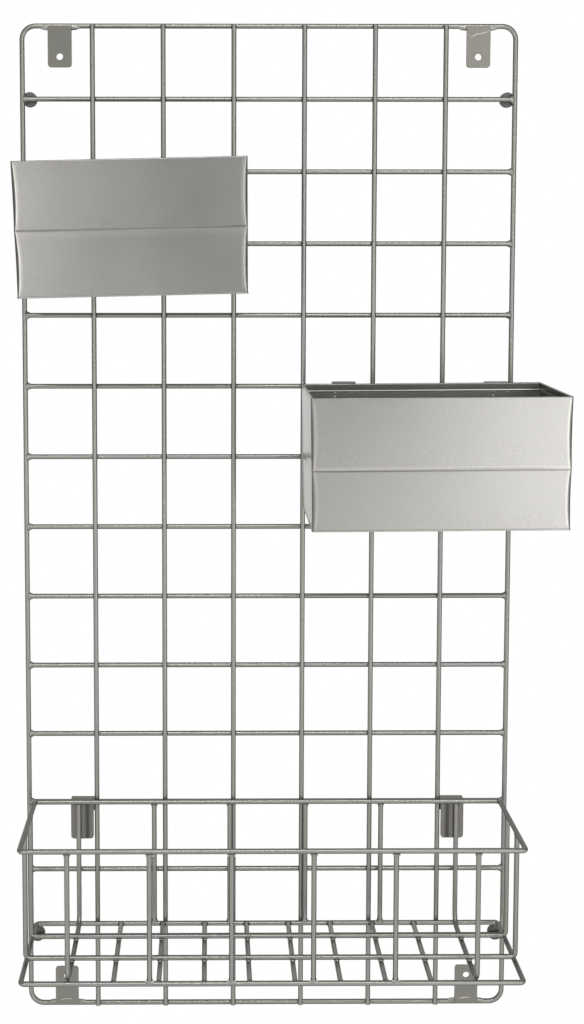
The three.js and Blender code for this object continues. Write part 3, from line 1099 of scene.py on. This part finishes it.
# Stage and light
def stage_material():
    """Pale for the lamps, and plain white where the camera or a reflection looks at it, except near the
    object, where it keeps its shadow."""
    material = bpy.data.materials.new("studio_white")
    material.use_nodes = True
    tree = material.node_tree
    tree.nodes.clear()
    place = add_node(tree, "ShaderNodeTexCoord").outputs["Object"]
    noise = add_node(tree, "ShaderNodeTexNoise", Vector=place, Scale=3.0).outputs["Fac"]
    low, high = STAGE_TONES
    tone = add_node(tree, "ShaderNodeMapRange", Value=noise, To_Min=low, To_Max=high)
    pale = add_node(tree, "ShaderNodeBsdfDiffuse", Color=tone.outputs["Result"])
    white = add_node(tree, "ShaderNodeEmission", Color=(1, 1, 1, 1), Strength=1.0)
    path = add_node(tree, "ShaderNodeLightPath")
    seen = math_node(tree, "MAXIMUM", path.outputs["Is Camera Ray"], path.outputs["Is Glossy Ray"])
    seen = math_node(tree, "MAXIMUM", seen, path.outputs["Is Transmission Ray"])
    level = add_node(tree, "ShaderNodeVectorMath", {"operation": "MULTIPLY"}, Vector=place)
    level.inputs[1].default_value = (1, 1, 0)
    spot = level.outputs["Vector"]
    distance = add_node(tree, "ShaderNodeVectorMath", {"operation": "LENGTH"}, Vector=spot)
    away = add_node(
        tree,
        "ShaderNodeMapRange",
        {"interpolation_type": "SMOOTHSTEP"},
        Value=distance.outputs["Value"],
        From_Min=SHADOW_NEAR,
        From_Max=SHADOW_FAR,
        To_Min=SHADOW_WHITE,
    )
    seen = math_node(tree, "MULTIPLY", seen, away.outputs["Result"])
    mixed = add_node(tree, "ShaderNodeMixShader", Fac=seen)
    tree.links.new(pale.outputs[0], mixed.inputs[1])
    tree.links.new(white.outputs[0], mixed.inputs[2])
    add_node(tree, "ShaderNodeOutputMaterial", Surface=mixed.outputs[0])
    return material


def stage_plane(name, corners, material):
    mesh = bpy.data.meshes.new(name)
    mesh.from_pydata(corners, [], [(0, 1, 2, 3)])
    mesh.materials.append(material)
    plane = link(name, mesh)


def floor_and_backdrop():
    white = stage_material()
    left, right, front, top = -STAGE_REACH, STAGE_REACH, -STAGE_REACH, STAGE_REACH
    rear_left = (left, STAGE_BACK, FLOOR_HEIGHT)
    rear_right = (right, STAGE_BACK, FLOOR_HEIGHT)
    front_left = (left, front, FLOOR_HEIGHT)
    front_right = (right, front, FLOOR_HEIGHT)
    top_left = (left, STAGE_BACK, top)
    top_right = (right, STAGE_BACK, top)
    stage_plane("floor", [front_left, front_right, rear_right, rear_left], white)
    stage_plane("backdrop", [rear_left, rear_right, top_right, top_left], white)


def softbox(name, place, width, height, power):
    data = bpy.data.lights.new(name, "AREA")
    data.shape = "RECTANGLE"
    data.size = width
    data.size_y = height
    data.energy = power
    lamp = bpy.data.objects.new(name, data)
    lamp.location = place
    lamp.rotation_euler = (LAMP_AIM - Vector(place)).to_track_quat("-Z", "Y").to_euler()
    bpy.context.scene.collection.objects.link(lamp)


def studio_air():
    """White where the camera sees it, and dim for the object."""
    world = bpy.data.worlds.new("studio_air")
    bpy.context.scene.world = world
    world.use_nodes = True
    tree = world.node_tree
    background = tree.nodes["Background"]
    background.inputs["Color"].default_value = (1, 1, 1, 1)
    seen = add_node(tree, "ShaderNodeLightPath").outputs["Is Camera Ray"]
    level = add_node(tree, "ShaderNodeMapRange", Value=seen, To_Min=AIR_LIGHT, To_Max=1.0)
    feed(tree, background.inputs["Strength"], level.outputs["Result"])


make_camera()
WIRE_TREE = wire_tree()
FLARE_TREE = weld_flare_tree()
NUGGET_TREE = weld_nugget_tree()
PAINT_TEXTURE = paint_texture_group()
# The wire, rim and floor wire paints are one pewter, with more or less painted shade where they turn
# away
WIRE_PAINT = paint_material("pewter_wire_paint", PEWTER, edge=0.28, turn=WIRE_TURN_SHADE, Roughness=0.34)
RIM_PAINT = paint_material("pewter_rim_paint", PEWTER, edge=0.6, turn=WIRE_TURN_SHADE, Roughness=0.34)
FLOOR_WIRE_PAINT = paint_material("pewter_floor_wire_paint", PEWTER, edge=0.9, Roughness=0.34)
TAB_PAINT = paint_material("pewter_tab_paint", TAB_PEWTER, edge=1.0, Roughness=0.34)
# Painted shade: the hooks' paint is a darker pewter, darker again along the groove
HOOK_SHADE_PAINT = paint_material("pewter_hook_shade_paint", HOOK_SHADED_PEWTER, edge=1.0, Roughness=0.36, Line_Gain=0.65)
# Painted highlight: the welds' paint is a lighter pewter
WELD_HIGHLIGHT_PAINT = paint_material("pewter_weld_highlight_paint", WELD_HIGHLIGHT_PEWTER, edge=0.4, bump=0.4, Roughness=0.36)
# Painted highlight: the beads and weld spots are painted far lighter than the pewter
BEAD_HIGHLIGHT_PAINT = paint_material(
    "pewter_bead_highlight_paint",
    BEAD_HIGHLIGHT_TONE,
    edge=1.0,
    metallic=0.6,
    bump=0.3,
    Roughness=0.4,
)
# Painted shade: the spacers' paint is the pewter made dark
SPACER_SHADE_PAINT = paint_material(
    "spacer_pewter_painted_shade",
    SPACER_SHADED_PEWTER,
    edge=0.8,
    metallic=0.3,
    bump=0.5,
    Roughness=0.5,
)
SHEET_PAINT = paint_material(
    "pewter_sheet_paint",
    SHEET_SILVER,
    edge=0.4,
    metallic=0.9,
    bump=0.2,
    graze=1.0,
    Roughness=0.3,
    Line_Gain=0.35,
    Speckle_Scale=1000.0,
    Speckle=0.35,
    Shade=0.06,
)

grid_panel()
basket()
for bin_name in BINS:
    make_bin(bin_name)
finished_copy("panel_screw_tabs", "panel", TABS, TAB_EDGE, TAB_PAINT)
finished_copy("panel_wall_spacers", "panel", SPACERS, SPACER_EDGE, SPACER_SHADE_PAINT)
basket_hook_plates()

floor_and_backdrop()
for lamp_values in LAMPS:
    softbox(*lamp_values)
studio_air()
bpy.context.scene.view_settings.view_transform = "Standard"
